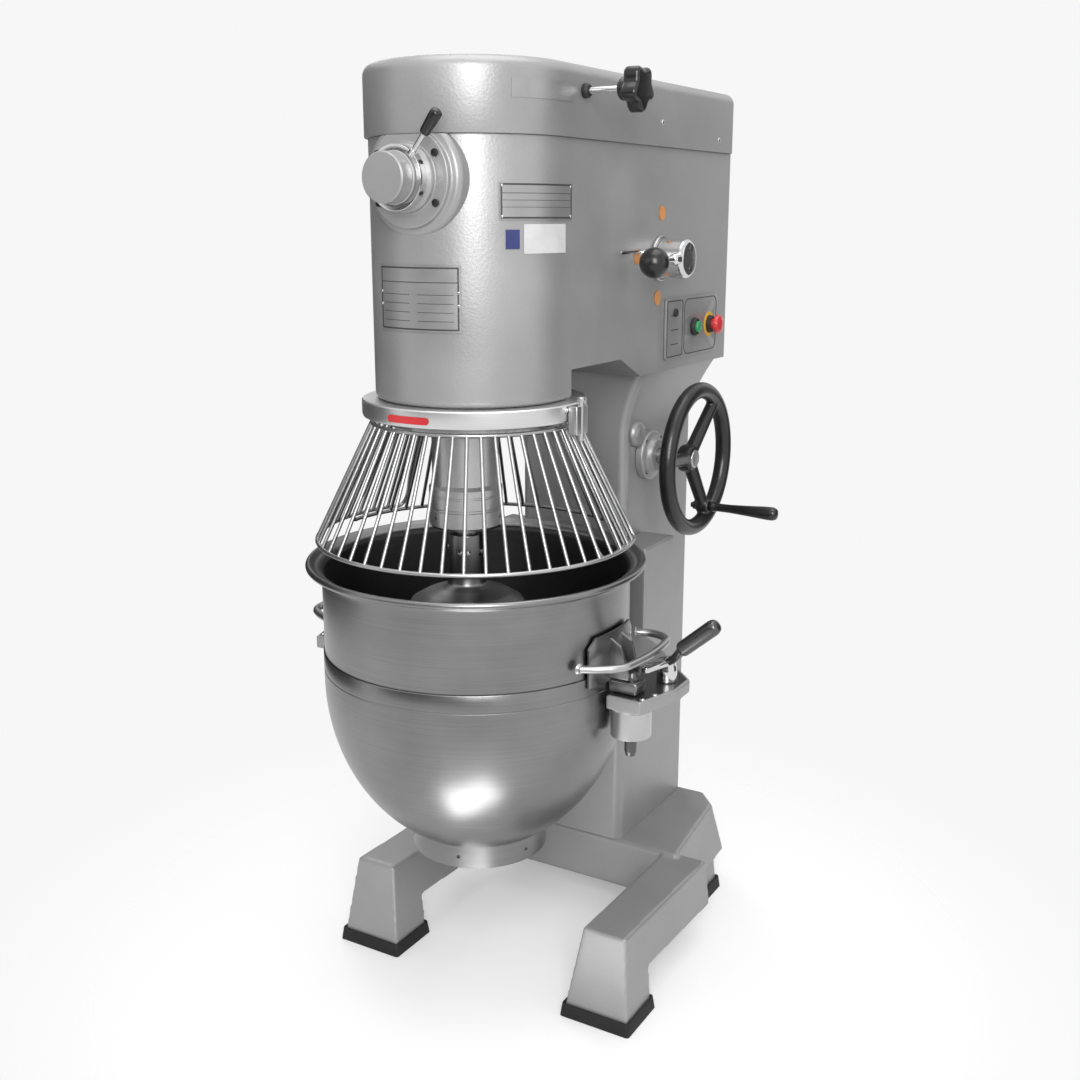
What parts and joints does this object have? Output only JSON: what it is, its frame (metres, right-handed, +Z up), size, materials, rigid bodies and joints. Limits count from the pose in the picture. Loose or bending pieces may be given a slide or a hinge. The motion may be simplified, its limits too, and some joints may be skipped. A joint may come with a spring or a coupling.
{
  "type": "commercial stand mixer",
  "caption": "Floor-standing planetary mixer with a bowl lift handwheel, swinging wire bowl guard, attachment hub, removable bowl and wire whisk.",
  "frame": {"origin": "floor level under the middle of the machine's bounding box", "axes": "+Z up, -Y to the bowl and the operator, +X to the handwheel and the controls"},
  "size_m": [0.8444, 0.961, 1.587],
  "materials": {
    "hammertone": "silver grey hammered paint, semi-gloss",
    "stainless": "brushed round the axis",
    "chrome": "bright plated wire and castings",
    "plated_steel": "turned and zinc plated",
    "plate_silver": "satin plate, bare",
    "steel": "machined",
    "dark_steel": "blackened, satin",
    "cast_grey": "as cast, painted grey",
    "bronze": "machined",
    "black_plastic": "moulded, semi-gloss",
    "rubber": "moulded, matte",
    "belt_rubber": "ribbed belt, matte",
    "green": "moulded",
    "red": "moulded"
  },
  "bodies": {
    "frame": {"base_casting": "hammertone", "front_pad_left": "rubber", "front_pad_right": "rubber", "rear_pad_left": "rubber", "rear_pad_right": "rubber", "column": "hammertone", "cable_gland": "black_plastic", "head_housing": "hammertone", "top_cover": "hammertone", "rear_panel": "hammertone", "drip_collar": "plated_steel", "guard_bracket": "plated_steel", "guard_rear": "chrome", "front_plate": "plate_silver", "side_plate": "plate_silver", "hub_housing": "hammertone", "hub_cap": "plated_steel", "control_panel": "plate_silver", "selector_base": "plated_steel", "ring_gear": "steel", "gearbox_plate": "cast_grey", "motor": "cast_grey", "drive_belt": "belt_rubber", "screw_bearing": "cast_grey", "wheel_bearing": "plated_steel"},
    "carriage": {"bowl": "stainless", "bowl_ear_left": "stainless", "bowl_ear_right": "stainless", "bowl_handle_left": "chrome", "bowl_handle_right": "chrome", "bowl_yoke": "hammertone", "yoke_pin_left": "steel", "yoke_pin_right": "steel", "lift_nut": "bronze"},
    "clamp_right": {"clamp_lever_right": "chrome", "clamp_grip_right": "dark_steel"},
    "clamp_left": {"clamp_lever_left": "chrome", "clamp_grip_left": "dark_steel"},
    "guard": {"guard_front": "chrome"},
    "planet": {"planet_carrier": "plated_steel", "main_shaft": "steel", "output_gear": "steel", "hub_bevel_gear": "steel"},
    "agitator": {"agitator_shaft": "steel", "whisk": "stainless"},
    "lay": {"layshaft": "steel", "layshaft_gear": "steel", "input_pulley": "cast_grey"},
    "rotor": {"motor_rotor": "steel"},
    "hub_drive": {"hub_drive_shaft": "steel"},
    "hub_clutch": {"hub_lever": "chrome"},
    "screw": {"lift_screw": "steel"},
    "wheel": {"handwheel": "black_plastic", "wheel_shaft": "steel"},
    "crank": {"crank_grip": "black_plastic"},
    "start": {"start_button": "green"},
    "stop": {"stop_button": "red"},
    "selector": {"gear_selector": "chrome", "selector_ball": "black_plastic"},
    "speed": {"speed_knob": "black_plastic"}
  },
  "joints": [
    {"name": "bowl_lift", "type": "slide", "parent": "frame", "child": "carriage", "axis": [0, 0, 1], "range_m": [-0.2, 0]},
    {"name": "clamp_right_swing", "type": "hinge", "parent": "carriage", "child": "clamp_right", "pos_m": [0.322, -0.1205, 0.62], "axis": [0, 0, 1], "range_deg": [0, 60]},
    {"name": "clamp_left_swing", "type": "hinge", "parent": "carriage", "child": "clamp_left", "pos_m": [-0.322, -0.1205, 0.62], "axis": [0, 0, -1], "range_deg": [0, 60]},
    {"name": "guard_swing", "type": "hinge", "parent": "frame", "child": "guard", "pos_m": [0, -0.1955, 1.0436], "axis": [0, 0, 1], "range_deg": [0, 110]},
    {"name": "planet_spin", "type": "hinge", "parent": "frame", "child": "planet", "pos_m": [0, -0.1955, 1.05], "axis": [0, 0, 1], "continuous": true},
    {"name": "agitator_spin", "type": "hinge", "parent": "planet", "child": "agitator", "pos_m": [0.02688, -0.26552, 1.034], "axis": [0, 0, 1], "continuous": true},
    {"name": "layshaft_spin", "type": "hinge", "parent": "frame", "child": "lay", "pos_m": [0, -0.0605, 1.5], "axis": [0, 0, 1], "continuous": true},
    {"name": "motor_spin", "type": "hinge", "parent": "frame", "child": "rotor", "pos_m": [0, 0.3045, 1.5], "axis": [0, 0, 1], "continuous": true},
    {"name": "hub_drive_spin", "type": "hinge", "parent": "frame", "child": "hub_drive", "pos_m": [0, -0.4285, 1.416], "axis": [0, 1, 0], "continuous": true},
    {"name": "hub_lever_turn", "type": "hinge", "parent": "frame", "child": "hub_clutch", "pos_m": [0, -0.3955, 1.416], "axis": [0, 1, 0], "range_deg": [-20, 40]},
    {"name": "screw_spin", "type": "hinge", "parent": "frame", "child": "screw", "pos_m": [0, 0.219, 0.3], "axis": [0, 0, 1], "range_deg": [-2882, 2]},
    {"name": "handwheel_turn", "type": "hinge", "parent": "frame", "child": "wheel", "pos_m": [0.216, 0.219, 0.926], "axis": [1, 0, 0], "range_deg": [-5327, 2]},
    {"name": "crank_spin", "type": "hinge", "parent": "wheel", "child": "crank", "pos_m": [0.3, 0.26211, 0.82916], "axis": [1, 0, 0], "continuous": true},
    {"name": "start_press", "type": "slide", "parent": "frame", "child": "start", "axis": [1, 0, 0], "range_m": [-0.004, 0], "stiffness_N_per_m": 400},
    {"name": "stop_press", "type": "slide", "parent": "frame", "child": "stop", "axis": [1, 0, 0], "range_m": [-0.004, 0], "stiffness_N_per_m": 500},
    {"name": "selector_turn", "type": "hinge", "parent": "frame", "child": "selector", "pos_m": [0.17, 0.1605, 1.29], "axis": [1, 0, 0], "range_deg": [-90, 90]},
    {"name": "speed_turn", "type": "hinge", "parent": "frame", "child": "speed", "pos_m": [0.2, -0.1345, 1.547], "axis": [1, 0, 0], "range_deg": [-135, 135]}
  ],
  "couplings": [
    {"joint": "agitator_spin", "follows": "planet_spin", "ratio": -2.6667},
    {"joint": "layshaft_spin", "follows": "planet_spin", "ratio": -2},
    {"joint": "motor_spin", "follows": "planet_spin", "ratio": -4},
    {"joint": "hub_drive_spin", "follows": "planet_spin", "ratio": -1},
    {"joint": "screw_spin", "follows": "bowl_lift", "rad_per_m": 251.33},
    {"joint": "handwheel_turn", "follows": "bowl_lift", "rad_per_m": 464.72}
  ]
}
